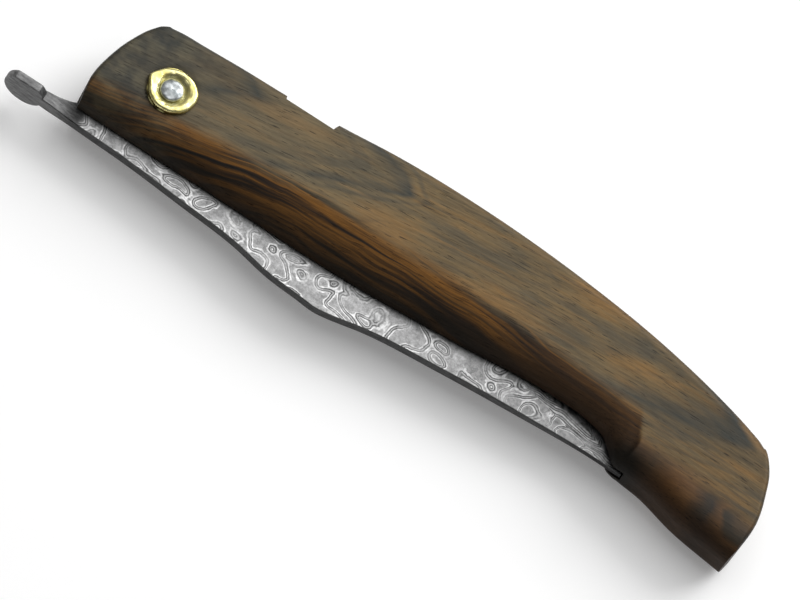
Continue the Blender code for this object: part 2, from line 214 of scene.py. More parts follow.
def scale_edges(along, across):
    """Return a scale's lower, back, front and butt edges as lines of points."""
    lower_x = LOWER_LINE[0][0] + (LOWER_LINE[-1][0] - LOWER_LINE[0][0]) * along
    back_x = BACK_LINE[0][0] + (BACK_LINE[-1][0] - BACK_LINE[0][0]) * along
    front_y = FRONT_END[0][1] + (FRONT_END[-1][1] - FRONT_END[0][1]) * across
    butt_y = BUTT_END[-1][1] + (BUTT_END[0][1] - BUTT_END[-1][1]) * across
    return (np.column_stack([lower_x, curve_through(LOWER_LINE, lower_x)]),
            np.column_stack([back_x, curve_through(BACK_LINE, back_x)]),
            np.column_stack([curve_through(flipped(FRONT_END), front_y), front_y]),
            np.column_stack([curve_through(flipped(BUTT_END), butt_y), butt_y]))


def filled_grid(lower, back, front, butt, along, across):
    """Fill four edges with a grid of points that blends from each edge to its opposite."""
    u, v = along[None, :, None], across[:, None, None]
    from_lower = (1 - v) * lower[None] + v * back[None]
    from_front = (1 - u) * front[:, None] + u * butt[:, None]
    corners = ((1 - u) * (1 - v) * lower[0] + u * (1 - v) * lower[-1]
               + (1 - u) * v * back[0] + u * v * back[-1])
    return from_lower + from_front - corners


def outer_height(grid):
    """Height of a scale's outer surface over each point of a grid."""
    fine = np.linspace(0, 1, 500)
    lower, back, front, butt = [distance_to(grid, line) for line in scale_edges(fine, fine)]
    x, y = grid[..., 0], grid[..., 1]
    lean = np.clip((y - HOLLOW_END_FOOT_Y) / HOLLOW_END_HEIGHT, 0, 1) ** 3
    wall = np.clip((HOLLOW_END_X - HOLLOW_END_LEAN * lean - x) / HOLLOW_END_RUN, 0, 1)
    lip = curve_through(LOWER_LINE, x)
    hollow = rounding(y - lip, curve_through(CREST_LINE, x) - lip, CHEEK_DROP)
    hollow = hollow * (1 - (1 - wall) ** 2.5)
    butt_side = rounding(lower, BUTT_ROUND, BUTT_DROP) * fade(x, *BUTT_BLEND)
    falls = np.array([hollow, butt_side, rounding(back, BACK_ROUND, BACK_ROUND),
                      rounding(front, END_ROUND, END_ROUND), rounding(butt, END_ROUND, END_ROUND)])
    softness = 6.0
    fall = np.sum(falls ** softness, axis=0) ** (1 / softness)
    fall = np.minimum(fall, HALF_THICKNESS - HALF_SLOT - LEAST_WALL)
    seat = 1 - fade(np.hypot(x, y), COLLAR_SEAT_RADIUS - 0.1, COLLAR_SEAT_RADIUS + 0.05)
    return HALF_THICKNESS - np.maximum(fall, COLLAR_SEAT_DEPTH * seat)


def loft_over(grid, heights, foot):
    """Points and faces of a grid raised to its heights, with walls down to the level foot.

    The last item is the ring of point numbers along the walls' feet.
    """
    rows, columns = heights.shape
    points = [tuple(point) for point in np.dstack([grid, heights]).reshape(-1, 3)]
    number = np.arange(rows * columns).reshape(rows, columns)
    faces = [(number[r, c], number[r, c + 1], number[r + 1, c + 1], number[r + 1, c])
             for r in range(rows - 1) for c in range(columns - 1)]
    rim = np.concatenate([number[0, :-1], number[:-1, -1], number[-1, :0:-1], number[:0:-1, 0]])
    ring = [len(points) + n for n in range(len(rim))]
    points += [(points[top][0], points[top][1], foot) for top in rim]
    for n, top in enumerate(rim):
        after = (n + 1) % len(rim)
        faces.append((top, ring[n], ring[after], rim[after]))
    return points, faces, ring


def shade(piece, crease):
    """Shade a piece smooth, apart from its creases."""
    piece.data.shade_smooth()
    piece.data.set_sharp_from_angle(angle=crease)


def add_piece(name, points, faces, crease=WOOD_CREASE):
    """Make a piece from points in millimetres about the pivot."""
    mesh = bpy.data.meshes.new(name)
    mesh.from_pydata([PIVOT + Vector(point) * MM for point in points], [],
                     [tuple(int(n) for n in face) for face in faces])
    mesh.validate()
    piece = bpy.data.objects.new(name, mesh)
    bpy.context.scene.collection.objects.link(piece)
    shade(piece, crease)
    return piece


def stand_in_for(piece, node, body, material):
    """Let a piece stand for a node of the frame."""
    piece.data.materials.append(material)
    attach(piece, body)
    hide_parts(node)


# Pieces.

def make_scale(name, side):
    """A carved wooden scale. side is 1 for the front one and -1 for the rear one."""
    along, across = places(SCALE_ALONG), places(SCALE_ACROSS)
    grid = filled_grid(*scale_edges(along, across), along, across)
    points, faces, ring = loft_over(grid, outer_height(grid), HALF_SLOT)
    faces.append(tuple(reversed(ring)))
    points = [(x, y, side * z) for x, y, z in points]
    scale = add_piece(name, points, [face[::side] for face in faces])
    join_by(scale, make_notch(), "DIFFERENCE")
    shade(scale, WOOD_CREASE)
    return scale


def make_notch():
    """The cutter for the notch in the handle's back, as wide as the whole handle."""
    count = len(NOTCH)
    points = [(x, y, z) for z in (-NOTCH_REACH, NOTCH_REACH) for x, y in NOTCH]
    sides = [(n, (n + 1) % count, (n + 1) % count + count, n + count) for n in range(count)]
    ends = [tuple(reversed(range(count))), tuple(range(count, 2 * count))]
    return add_piece("notch", points, sides + ends)


def make_wedge():
    """The wedge between the scales, flush with the butt's outline all round."""
    back_x = np.linspace(WEDGE_START_X, BACK_LINE[-1][0], 40)
    butt_y = np.linspace(BUTT_END[0][1], BUTT_END[-1][1], 50)[1:-1]
    lower_x = np.linspace(LOWER_LINE[-1][0], WEDGE_START_X, 40)
    outline = list(zip(back_x, curve_through(BACK_LINE, back_x)))
    outline += list(zip(curve_through(flipped(BUTT_END), butt_y), butt_y))
    outline += list(zip(lower_x, curve_through(LOWER_LINE, lower_x)))
    count = len(outline)
    half = HALF_SLOT - WEDGE_PLAY
    points = [(x, y, half) for x, y in outline] + [(x, y, -half) for x, y in outline]
    faces = [tuple(reversed(range(count))), tuple(range(count, 2 * count))]
    faces += [(n, (n + 1) % count, count + (n + 1) % count, count + n) for n in range(count)]
    return add_piece("butt_wedge_fine", points, faces)


def half_thickness(x, y, grind, inner):
    """Half of the blade's thickness over each point."""
    to_edge = np.clip((y - grind) / (inner - grind), 0, 1)
    ground = HALF_EDGE + (HALF_BLADE - HALF_EDGE) * (1 - to_edge) ** 2
    blade = HALF_BLADE + (ground - HALF_BLADE) * fade(x, *SHOULDER)
    blade = blade * (1 - TOE_THINNING * fade(x, *TOE))
    return blade + (HALF_NECK - HALF_BLADE) * fade(x, *NECK_FLARE)


def join_by(piece, other, operation):
    """Apply a Boolean with another solid, which is then removed."""
    boolean = piece.modifiers.new(operation, "BOOLEAN")
    boolean.operation = operation
    boolean.solver = "EXACT"
    boolean.object = other
    with bpy.context.temp_override(object=piece, active_object=piece):
        bpy.ops.object.modifier_apply(modifier=boolean.name)
    bpy.data.objects.remove(other)


def add_mirrored(piece):
    """Join a piece to its own mirror image in the middle plane."""
    centre = bpy.data.objects.new("middle_plane", None)
    centre.location = PIVOT
    bpy.context.scene.collection.objects.link(centre)
    mirror = piece.modifiers.new("both_sides", "MIRROR")
    mirror.use_axis = (False, False, True)
    mirror.merge_threshold = 0.001 * MM
    mirror.mirror_object = centre
    with bpy.context.temp_override(object=piece, active_object=piece):
        bpy.ops.object.modifier_apply(modifier=mirror.name)
    bpy.data.objects.remove(centre)


def blade_half():
    """Points and faces of the blade, tang and neck above the middle plane, with an eased spine."""
    x = places(BLADE_ALONG)
    spine, inner = curve_through(SPINE_LINE, x), curve_through(INNER_LINE, x)
    grind = np.minimum(curve_through(GRIND_LINE, x), (spine + inner) / 2)
    eased = np.minimum(spine + BLADE_EASING, grind)
    flat = np.linspace(0, 1, BLADE_FLAT_STEPS, endpoint=False)[:, None]
    ground = np.linspace(0, 1, BLADE_GRIND_STEPS + 1)[:, None]
    y = np.vstack([spine[None], eased + (grind - eased) * flat, grind + (inner - grind) * ground])
    heights = half_thickness(x, y, grind, inner)
    heights[0] -= BLADE_EASING
    points, faces, _ = loft_over(np.dstack([np.broadcast_to(x, y.shape), y]), heights, 0.0)
    return points, faces


def make_tail():
    """The blade's round tail, with a flat on its front and a rounded rim."""
    centre = Vector((TAIL_CENTRE_X, (TAIL_INNER_Y + TAIL_OUTER_Y) / 2, 0))
    bpy.ops.mesh.primitive_cylinder_add(
        vertices=96, radius=TAIL_RADIUS * MM, depth=(TAIL_INNER_Y - TAIL_OUTER_Y) * MM,
        rotation=(np.pi / 2, 0, 0), location=PIVOT + centre * MM)
    tail = bpy.context.object
    # The cylinder lies on its side, so its own y is the razor's z.
    for vertex in tail.data.vertices:
        vertex.co.y = min(vertex.co.y, TAIL_FLAT * MM)
    bevel = tail.modifiers.new("rim", "BEVEL")
    bevel.width = TAIL_RIM * MM
    bevel.segments = 3
    return tail


def make_bore():
    """The cutter for the hole that the pin goes through."""
    bpy.ops.mesh.primitive_cylinder_add(
        vertices=64, radius=BORE_RADIUS * MM, depth=BORE_DEPTH * MM, location=PIVOT)
    return bpy.context.object


def make_blade():
    """The forging: hollow-ground blade, tang, neck and tail."""
    blade = add_piece("blade_fine", *blade_half(), crease=BLADE_CREASE)
    add_mirrored(blade)
    join_by(blade, make_tail(), "UNION")
    join_by(blade, make_bore(), "DIFFERENCE")
    shade(blade, BLADE_CREASE)
    return blade


def turned(name, section, side, bend, sides=128):
    """Turn a closed (radius, height) section about the pivot's axis, moving each point by bend."""
    points, faces = [], []
    count = len(section)
    for angle in 2 * np.pi * np.arange(sides) / sides:
        for radius, height in section:
            place = Vector((radius * np.cos(angle), radius * np.sin(angle), height))
            place = bend(place, radius, height, angle)
            points.append((place.x, place.y, side * place.z))
    for n in range(sides):
        after = (n + 1) % sides
        for k in range(count):
            up = (k + 1) % count
            face = (n * count + k, n * count + up, after * count + up, after * count + k)
            faces.append(face[::side])
    return add_piece(name, points, faces, crease=TURNED_CREASE)


def degrees_from(angle, centre):
    """How far an angle in radians is from a centre in degrees, in degrees from -180 to 180."""
    return (np.degrees(angle) - centre + 180) % 360 - 180


def bulge(angle, centre, width):
    """1 at the centre, fading out over the given width, both in degrees."""
    return np.exp(-(degrees_from(angle, centre) / width) ** 2)


def corner(angle, centre, reach):
    """1 at the centre, where two straight facets meet that each run for the given reach in degrees."""
    facet = np.radians(max(reach - abs(degrees_from(angle, centre)), 0))
    return (1 / np.cos(facet) - 1) / (1 / np.cos(np.radians(reach)) - 1)


def stepped(section, step):
    """Add points along the sides of a closed section, about a step apart."""
    points = []
    for (r0, h0), (r1, h1) in zip(section, section[1:] + section[:1]):
        steps = max(1, int(np.hypot(r1 - r0, h1 - h0) / step))
        points += [(r0 + (r1 - r0) * t / steps, h0 + (h1 - h0) * t / steps) for t in range(steps)]
    return points


def make_collar(name, side, seed):
    """A dished brass collar, filed by hand: uneven round its edge, with a flat lobe towards the tail."""
    section = [(radius, HALF_THICKNESS + rise) for radius, rise in stepped(COLLAR_SECTION, COLLAR_STEP)]

    def filed(place, radius, height, angle):
        """Move a point of the turned ring to where hand filing leaves it."""
        rise = height - HALF_THICKNESS
        if rise < 0.02:
            return place
        # Millimetres out of round: a corner on the lobe, full towards the butt, short on the rest.
        outline = (-0.14 + 0.62 * corner(angle, 176, 34) + 0.55 * bulge(angle, 5, 50)
                   - 0.35 * bulge(angle, 115, 26) - 0.15 * bulge(angle, 75, 25))
        grown = fade(radius, 2.6, 4.9) * outline / radius
        rough = noise.noise(Vector((np.cos(angle), np.sin(angle), seed)) * 2.6) * 0.12
        lobe = bulge(angle, 183, 24)
        land = 0.95 * lobe * fade(radius, 2.3, 3.2) * (1 - fade(radius, 4.1, 4.9))
        level = rise + (COLLAR_RISE - 0.12 - rise) * land
        level += noise.noise(Vector((place.x, place.y, seed)) * 1.1) * 0.13 * fade(rise, 0.1, 0.7)
        scale = 1 + grown + rough * fade(radius, 3.0, 4.5) / radius
        return Vector((place.x * scale, place.y * scale, HALF_THICKNESS + min(level, COLLAR_RISE)))

    return turned(name, section[::-1], side, filed)


def make_pin():
    """The pivot pin, with a hammered dome at each end."""
    brow = HALF_THICKNESS + PIN_HEAD_BROW
    dome = [(PIN_HEAD_RADIUS * np.sin(angle), brow + (PIN_RISE - PIN_HEAD_BROW) * np.cos(angle))
            for angle in np.linspace(0.04, np.pi / 2, 16)]
    upper = dome + [(PIN_HEAD_RADIUS, HALF_THICKNESS + PIN_HEAD_SEAT),
                    (PIN_RADIUS, HALF_THICKNESS + PIN_HEAD_SEAT)]
    section = upper + [(radius, -height) for radius, height in reversed(upper)]

    def hammered(place, radius, height, angle):
        """Dimple the domes, and leave the rest as turned."""
        if abs(height) >= brow:
            place.z += noise.noise(Vector((place.x, place.y, height)) * 0.75) * 0.14 - 0.03
        return place

    return turned("pivot_pin_fine", section[::-1], 1, hammered, sides=96)


# Materials.

# How dark the smoky tongues are, from growth shell -40 mm at 0 to growth shell 160 mm at 1.
TONGUES = [(0.17, 0.80), (0.21, 1.0), (0.235, 0.62), (0.27, 0.45), (0.297, 0.95), (0.314, 0.34),
           (0.36, 0.14), (0.397, 0.30), (0.415, 0.08), (0.438, 0.20), (0.450, 0.65), (0.461, 1.0),
           (0.472, 0.10), (0.50, 0.02), (0.60, 0.14), (0.70, 0.10), (0.745, 0.25), (0.770, 0.45),
           (0.790, 0.10), (0.835, 0.18), (0.862, 0.85), (0.880, 1.0), (0.894, 0.25), (0.95, 0.12)]

# Colours of the butt's rings, from their centre at 0 to 30 mm out at 1.
BUTT_RINGS = [(0.03, (0.064, 0.041, 0.022)), (0.09, (0.036, 0.028, 0.019)),
              (0.13, (0.038, 0.029, 0.019)), (0.17, (0.098, 0.050, 0.020)),
              (0.22, (0.070, 0.039, 0.018)), (0.26, (0.034, 0.026, 0.019)),
              (0.30, (0.040, 0.029, 0.019)), (0.40, (0.118, 0.057, 0.019)),
              (0.56, (0.108, 0.049, 0.014)), (0.72, (0.052, 0.031, 0.015)),
              (0.92, (0.082, 0.038, 0.013))]

# How bright the steel is, from the middle of a weld line at 0 to 1.3 mm away at 1.
WELD_LINE = [(0.0, 0.30), (0.08, 0.26), (0.13, 0.080), (0.22, 0.080), (0.30, 0.36), (0.40, 0.52),
             (0.54, 0.30), (0.66, 0.17), (0.74, 0.26), (1.0, 0.21)]
WELD_LINE_REACH = 1.3
LAYER_THICKNESS = 0.13
SLOPE_STEP = 0.2  # between the places where the layers are read to find their slope


class Shader:
    """A material whose nodes are added one by one."""

    def __init__(self, name):
        self.material = bpy.data.materials.new(name)
        self.material.use_nodes = True
        self.tree = self.material.node_tree
        self.surface = self.tree.nodes["Principled BSDF"]
        self.place = self.millimetres()
        self.x, self.y, self.z = self.parts_of(self.place)

    def add(self, kind, settings=None, **inputs):
        """Add a node. An input is a number, a colour or another node's output."""
        node = self.tree.nodes.new("ShaderNode" + kind)
        for name, value in (settings or {}).items():
            setattr(node, name, value)
        for name, value in inputs.items():
            self.feed(node.inputs[name], value)
        return node

    def feed(self, socket, value):
        """Link an output to a socket, or set the socket's value."""
        if isinstance(value, bpy.types.NodeSocket):
            self.tree.links.new(value, socket)
        else:
            socket.default_value = value

    def set(self, **inputs):
        """Set the surface's own inputs, by name with _ for each space."""
        for name, value in inputs.items():
            self.feed(self.surface.inputs[name.replace("_", " ")], value)

    def vector_math(self, operation, *values):
        """Vector arithmetic on outputs and triples."""
        node = self.add("VectorMath", {"operation": operation})
        for socket, value in zip(node.inputs, values):
            self.feed(socket, value)
        return node.outputs[0]

    def math(self, operation, *values):
        """Arithmetic on outputs and numbers."""
        node = self.add("Math", {"operation": operation})
        for socket, value in zip(node.inputs, values):
            self.feed(socket, value)
        return node.outputs[0]

    def millimetres(self):
        """Place on the piece, in millimetres from the pivot axis at mid thickness."""
        place = self.add("TexCoord").outputs["Object"]
        return self.vector_math("MULTIPLY", self.vector_math("SUBTRACT", place, PIVOT), (1 / MM,) * 3)

    def length(self, vector):
        """The length of a vector."""
        return self.add("VectorMath", {"operation": "LENGTH"}, Vector=vector).outputs["Value"]

    def facing(self):
        """The three parts of the direction that the surface faces, in the piece's own frame."""
        return self.parts_of(self.add("TexCoord").outputs["Normal"])

    def parts_of(self, vector):
        """The three parts of a vector."""
        return self.add("SeparateXYZ", Vector=vector).outputs[:]

    def joined(self, x, y, z):
        """A vector from three parts."""
        return self.add("CombineXYZ", X=x, Y=y, Z=z).outputs[0]

    def noise(self, stretch, detail=2.0, roughness=0.5, place=None, distortion=0.0):
        """Noise from 0 to 1 over the place, stretched by three factors per millimetre."""
        vector = self.vector_math("MULTIPLY", place or self.place, stretch)
        node = self.add("TexNoise", Vector=vector, Scale=1.0, Detail=detail, Roughness=roughness,
                        Distortion=distortion)
        return node.outputs[0]

    def ramp(self, factor, stops):
        """Read a number, or a colour, off a run of (place, value) stops."""
        node = self.add("ValToRGB", Fac=factor)
        colors = node.color_ramp.elements
        while len(colors) < len(stops):
            colors.new(0.5)
        for element, (place, value) in zip(colors, stops):
            element.position = place
            element.color = (*value, 1) if isinstance(value, tuple) else (value, value, value, 1)
        return node.outputs[0]

    def mix(self, factor, first, second):
        """Blend two colours."""
        node = self.add("Mix", {"data_type": "RGBA"})
        self.feed(node.inputs[0], factor)
        for socket, value in ((node.inputs[6], first), (node.inputs[7], second)):
            self.feed(socket, (*value, 1) if isinstance(value, tuple) else value)
        return node.outputs[2]

    def shaded(self, color, factor, stops):
        """Multiply a colour by what a factor reads off a run of (place, value) stops."""
        return self.tinted(color, self.ramp(factor, stops))

    def tinted(self, first, second):
        """Multiply two colours."""
        node = self.add("Mix", {"data_type": "RGBA", "blend_type": "MULTIPLY"})
        for socket, value in zip((node.inputs[0], node.inputs[6], node.inputs[7]), (1.0, first, second)):
            self.feed(socket, value)
        return node.outputs[2]

    def fade(self, value, start, end):
        """Go smoothly from 0 at start to 1 at end."""
        node = self.add("MapRange", {"interpolation_type": "SMOOTHSTEP"})
        for socket, number in zip(node.inputs, (value, start, end, 0.0, 1.0)):
            self.feed(socket, number)
        return node.outputs[0]

    def wander(self, stretch, reach, **options):
        """Noise that wanders to either side of zero by up to about the reach."""
        centred = self.math("SUBTRACT", self.noise(stretch, **options), 0.5)
        return self.math("MULTIPLY", centred, reach * 4)

    def bump(self, height, distance):
        """Raise the surface by a height from 0 to 1 times a distance in millimetres."""
        node = self.add("Bump", Strength=1.0, Distance=distance * MM, Height=height)
        self.set(Normal=node.outputs[0])


def along_grain(wood):
    """Place on the piece in a frame whose x runs with the grain, which rises and levels off."""
    bow = wood.math("MULTIPLY", wood.math("POWER", wood.math("ABSOLUTE", wood.x), 3.0), 0.0000032)
    rise = wood.math("SUBTRACT", wood.math("MULTIPLY", wood.x, 0.15), bow)
    return wood.joined(wood.x, wood.math("SUBTRACT", wood.y, rise), wood.z)


def growth_shells(wood):
    """Distance along cone-like growth shells that point towards the butt, in millimetres."""
    past = wood.math("MAXIMUM", wood.math("DIVIDE", wood.math("SUBTRACT", wood.x, 85.0), 48.0), 0.0)
    axis = wood.math("SUBTRACT", 10.2, wood.math("MULTIPLY", wood.math("POWER", past, 2.0), 5.8))
    off = wood.math("ABSOLUTE", wood.math("SUBTRACT", wood.y, axis))
    off = wood.math("SQRT", wood.math("ADD", wood.math("POWER", off, 2.0), 1.5))
    shell = wood.math("MULTIPLY_ADD", off, 2.3, wood.x)
    shell = wood.math("MULTIPLY_ADD", wood.math("SUBTRACT", 7.0, wood.z), 0.6, shell)
    shell = wood.math("ADD", shell, wood.wander((0.03, 0.09, 0.09), 3.0, detail=1.0))
    return wood.math("ADD", shell, wood.wander((0.09, 0.4, 0.4), 1.3, detail=3.0))


def below_crest(wood):
    """How far a place is below the crest of the carved cheek, in millimetres."""
    bow = wood.math("POWER", wood.math("DIVIDE", wood.math("SUBTRACT", wood.x, 66.0), 81.0), 2.0)
    crest = wood.math("SUBTRACT", -1.0, wood.math("MULTIPLY", bow, 4.8))
    return wood.math("SUBTRACT", crest, wood.y)


def tan_color(wood, grain_place):
    """Brown with streaks along the grain, and more olive towards the pivot."""
    tan = wood.ramp(wood.noise((0.035, 0.2, 0.2), detail=4.0, roughness=0.6, place=grain_place),
                    [(0.36, (0.098, 0.074, 0.040)), (0.49, (0.162, 0.107, 0.044)),
                     (0.61, (0.215, 0.118, 0.035))])
    streaks = wood.noise((0.03, 0.7, 0.7), detail=4.0, roughness=0.65, place=grain_place)
    tan = wood.mix(wood.ramp(streaks, [(0.34, 0.60), (0.46, 0.0)]), tan, (0.080, 0.056, 0.032))
    tan = wood.mix(wood.ramp(streaks, [(0.54, 0.0), (0.66, 0.5)]), tan, (0.225, 0.122, 0.038))
    olive = wood.math("MULTIPLY", wood.fade(wood.x, 68.0, 22.0), 0.5)
    return wood.mix(olive, tan, (0.152, 0.122, 0.070))


def smoke_and_back_shade(wood):
    """How dark the smoky tongues and the faint rings between them are, with painted shade along the
    handle's rounded back.
    """
    shell = growth_shells(wood)
    tongues = wood.ramp(wood.math("DIVIDE", wood.math("ADD", shell, 40.0), 200.0), TONGUES)
    uneven = wood.ramp(wood.noise((0.05, 0.22, 0.22), detail=4.0), [(0.3, 0.45), (0.55, 1.0)])
    place = wood.joined(wood.math("MULTIPLY", shell, 0.22), wood.math("MULTIPLY", wood.x, 0.02), 2.0)
    rings = wood.noise((1, 1, 1), detail=0.0, place=place)
    faint = wood.ramp(rings, [(0.27, 0.40), (0.42, 0.0)])
    # Painted shade: a darker band along the handle's back, where its rounding falls away from the light.
    back = wood.math("MULTIPLY", wood.fade(wood.y, 12.8, 16.0), wood.fade(uneven, 0.9, 0.5))
    tongues = wood.math("MULTIPLY", tongues, uneven)
    return wood.math("MAXIMUM", tongues, wood.math("MAXIMUM", faint, back))


def sapwood_color_and_back_shade(wood, grain_place):
    """Olive brown with smoky grey-green tongues, for the flat faces, and painted shade along the
    handle's back.
    """
    return wood.mix(smoke_and_back_shade(wood), tan_color(wood, grain_place), (0.036, 0.039, 0.033))


def heartwood_color_and_cheek_shade(wood, below):
    """Orange-brown with near-black stripes that follow the cheek, darkened further below the crest as
    painted shade where the cheek falls away from the light.
    """
    lean = wood.math("MULTIPLY", wood.math("MINIMUM", wood.math("SUBTRACT", wood.x, 30.0), 0.0), 0.15)
    stripe = wood.math("ADD", wood.math("ADD", below, lean), wood.wander((0.04, 0.1, 0.1), 1.2))
    place = wood.joined(wood.math("MULTIPLY", wood.x, 0.018), wood.math("MULTIPLY", stripe, 0.75), 0.4)
    stripes = wood.noise((1, 1, 1), detail=3.0, roughness=0.5, place=place)
    color = wood.ramp(stripes, [(0.37, (0.009, 0.008, 0.007)), (0.44, (0.028, 0.016, 0.009)),
                                (0.50, (0.088, 0.040, 0.010)), (0.57, (0.180, 0.078, 0.015)),
                                (0.70, (0.055, 0.030, 0.012))])
    # Painted shade: darker the further a place lies below the cheek's crest.
    return wood.shaded(color, wood.math("DIVIDE", below, 10.0),
                       [(0.0, 1.0), (0.22, 0.90), (0.42, 0.66), (0.8, 0.52)])


def butt_color(wood):
    """Red-brown with dark rings, for the lower part of the butt."""
    across = wood.math("POWER", wood.math("SUBTRACT", wood.x, 142.5), 2.0)
    down = wood.math("POWER", wood.math("ABSOLUTE", wood.math("ADD", wood.y, 11.6)), 2.0)
    ring = wood.math("SQRT", wood.math("ADD", across, down))
    ring = wood.math("ADD", ring, wood.wander((0.15, 0.3, 0.3), 1.1, detail=3.0))
    return wood.ramp(wood.math("DIVIDE", ring, 30.0), BUTT_RINGS)


def carved_hollow(wood, below):
    """1 on the carved cheek and 0 past the wall that ends it."""
    lean = wood.math("MULTIPLY", wood.math("MINIMUM", below, 6.0), 0.45)
    return wood.fade(wood.math("SUBTRACT", wood.x, lean), 114.2, 113.0)


def lip_shade(wood, heart):
    """How much darker the cheek gets towards its lip."""
    depth = wood.math("MULTIPLY_ADD", wood.fade(wood.x, 65.0, 105.0), 1.6, 3.9)
    lip = wood.math("MULTIPLY", heart, wood.fade(wood.math("ABSOLUTE", wood.z), 6.98, depth))
    return wood.math("MULTIPLY", lip, 0.75)


def recess_shade(wood, below, hollow):
    """How much darker the hollow gets towards the wall that ends it."""
    recess = wood.math("MULTIPLY", wood.fade(wood.x, 72.0, 98.0), wood.fade(below, 0.1, 2.2))
    return wood.math("MULTIPLY", wood.math("MULTIPLY", recess, hollow), 0.72)


def underside_shade(wood):
    """1 along the butt's lower edge, with an uneven border."""
    slant = wood.math("MULTIPLY", wood.math("SUBTRACT", wood.x, 117.0), 0.17)
    above_edge = wood.math("ADD", wood.math("ADD", wood.y, 14.05), slant)
    above_edge = wood.math("ADD", above_edge, wood.wander((0.1, 0.3, 0.3), 0.5, detail=3.0))
    return wood.math("MULTIPLY", wood.fade(above_edge, 4.0, 0.4), wood.fade(wood.x, 112.5, 115.5))


def toe_shade(wood):
    """How much darker the wood is round the blade's toe."""
    away = wood.vector_math("SUBTRACT", wood.joined(wood.x, wood.y, 0.0), (*BLADE_TOE, 0.0))
    return wood.math("MULTIPLY", wood.fade(wood.length(away), 6.5, 1.8), 0.92)


def with_blotched_front(wood, color):
    """Cover the front end with grey-green blotches, more so above its lower edge."""
    blotches = wood.ramp(wood.noise((0.15, 0.19, 0.19), detail=3.0, roughness=0.6),
                         [(0.40, (0.026, 0.028, 0.025)), (0.50, (0.050, 0.047, 0.035)),
                          (0.62, (0.098, 0.086, 0.055))])
    front = wood.math("MULTIPLY", wood.fade(wood.x, 13.0, -5.0), 0.78)
    above = wood.ramp(wood.fade(wood.y, -9.5, -4.0), [(0.0, 0.4), (1.0, 1.0)])
    return wood.mix(wood.math("MULTIPLY", front, above), color, blotches)


def with_end_grain_and_rim_shade(wood, color):
    """Darken the end grain and the handle's back: partly the end grain's own darker colour, partly
    painted shade on the rounded rims.
    """
    along, back, _ = wood.facing()
    outward = wood.math("MAXIMUM", back, wood.math("ABSOLUTE", along))
    # Painted shade on the faces that point along the handle and towards its back.
    return wood.shaded(color, wood.fade(outward, 0.2, 0.8), [(0.0, 1.0), (1.0, 0.55)])


def set_wood_surface(wood, color, grain_place, matt):
    """Give the wood its fibres, grain and pores, and its oiled gloss, duller where it is matt."""
    fibre = wood.noise((0.10, 1.9, 1.9), detail=6.0, roughness=0.72, place=grain_place)
    grain = wood.noise((0.5, 5.5, 5.5), detail=3.0, roughness=0.6, place=grain_place)
    pore = wood.noise((0.30, 4.2, 4.2), detail=1.0, place=grain_place)
    pore = wood.ramp(pore, [(0.28, 0.32), (0.34, 1.0)])
    color = wood.shaded(color, fibre, [(0.28, 0.68), (0.5, 1.0), (0.72, 1.25)])
    color = wood.shaded(color, grain, [(0.3, 0.84), (0.7, 1.14)])
    wood.set(Base_Color=wood.tinted(color, pore))
    wood.set(Specular_IOR_Level=wood.ramp(matt, [(0.0, 0.18), (1.0, 0.07)]))
    wood.set(Roughness=wood.ramp(fibre, [(0.3, 0.56), (0.7, 0.44)]))
    wood.bump(wood.math("ADD", pore, fibre), 0.015)


def wood_material():
    """Dense oiled hardwood, redder down the carved cheek and the butt, with painted shade down the
    cheek, in its hollow, along the butt's lower edge, round the blade's toe and on the rims.
    """
    wood = Shader("figured_hardwood")
    grain_place = along_grain(wood)
    below = below_crest(wood)
    edge = wood.math("ADD", below, wood.wander((0.05, 0.25, 0.25), 0.9, detail=3.0))
    hollow = carved_hollow(wood, below)
    heart = wood.math("MULTIPLY", wood.fade(edge, -1.6, 2.2), hollow)
    butt = wood.math("MULTIPLY", wood.fade(wood.x, 113.0, 116.0), wood.fade(edge, 3.0, 7.5))
    underside = underside_shade(wood)
    # Painted shade: the cheek's colour darkens below its crest, and the flat faces' colour darkens along
    # the handle's back.
    color = wood.mix(heart, sapwood_color_and_back_shade(wood, grain_place), heartwood_color_and_cheek_shade(wood, below))
    color = wood.mix(butt, color, butt_color(wood))
    color = wood.mix(lip_shade(wood, heart), color, (0.022, 0.018, 0.014))
    color = wood.mix(recess_shade(wood, below, hollow), color, (0.040, 0.023, 0.013))
    color = wood.shaded(color, wood.fade(wood.x, 106.0, 119.0), [(0.0, 1.0), (1.0, 0.82)])
    # Painted shade along the butt's lower edge.
    color = wood.mix(wood.math("MULTIPLY", underside, 0.84), color, (0.026, 0.015, 0.009))
    color = wood.mix(toe_shade(wood), color, (0.010, 0.009, 0.007))
    # Painted shade on the rounded rims, over the end grain's own darker colour.
    color = with_end_grain_and_rim_shade(wood, with_blotched_front(wood, color))
    set_wood_surface(wood, color, grain_place, wood.math("MAXIMUM", heart, underside))
    return wood.material


def weld_layers(steel, shift):
    """How many of the forging's warped layers lie under a place shifted by some millimetres."""
    place = steel.vector_math("ADD", steel.place, shift)
    folds = steel.noise((0.13, 0.18, 0.05), detail=1.0, roughness=0.35, place=place, distortion=0.3)
    wiggle = steel.noise((0.8, 0.8, 0.3), detail=1.0, place=place)
    layers = steel.math("MULTIPLY_ADD", folds, 5.2, steel.math("MULTIPLY", wiggle, 0.18))
    x, y, _ = steel.parts_of(place)
    slant = steel.math("SUBTRACT", x, 94.0)
    toe = steel.math("MULTIPLY_ADD", slant, 0.24, steel.math("ADD", y, 9.6))
    return steel.math("MULTIPLY_ADD", steel.math("MAXIMUM", toe, 0.0), 0.9, layers)


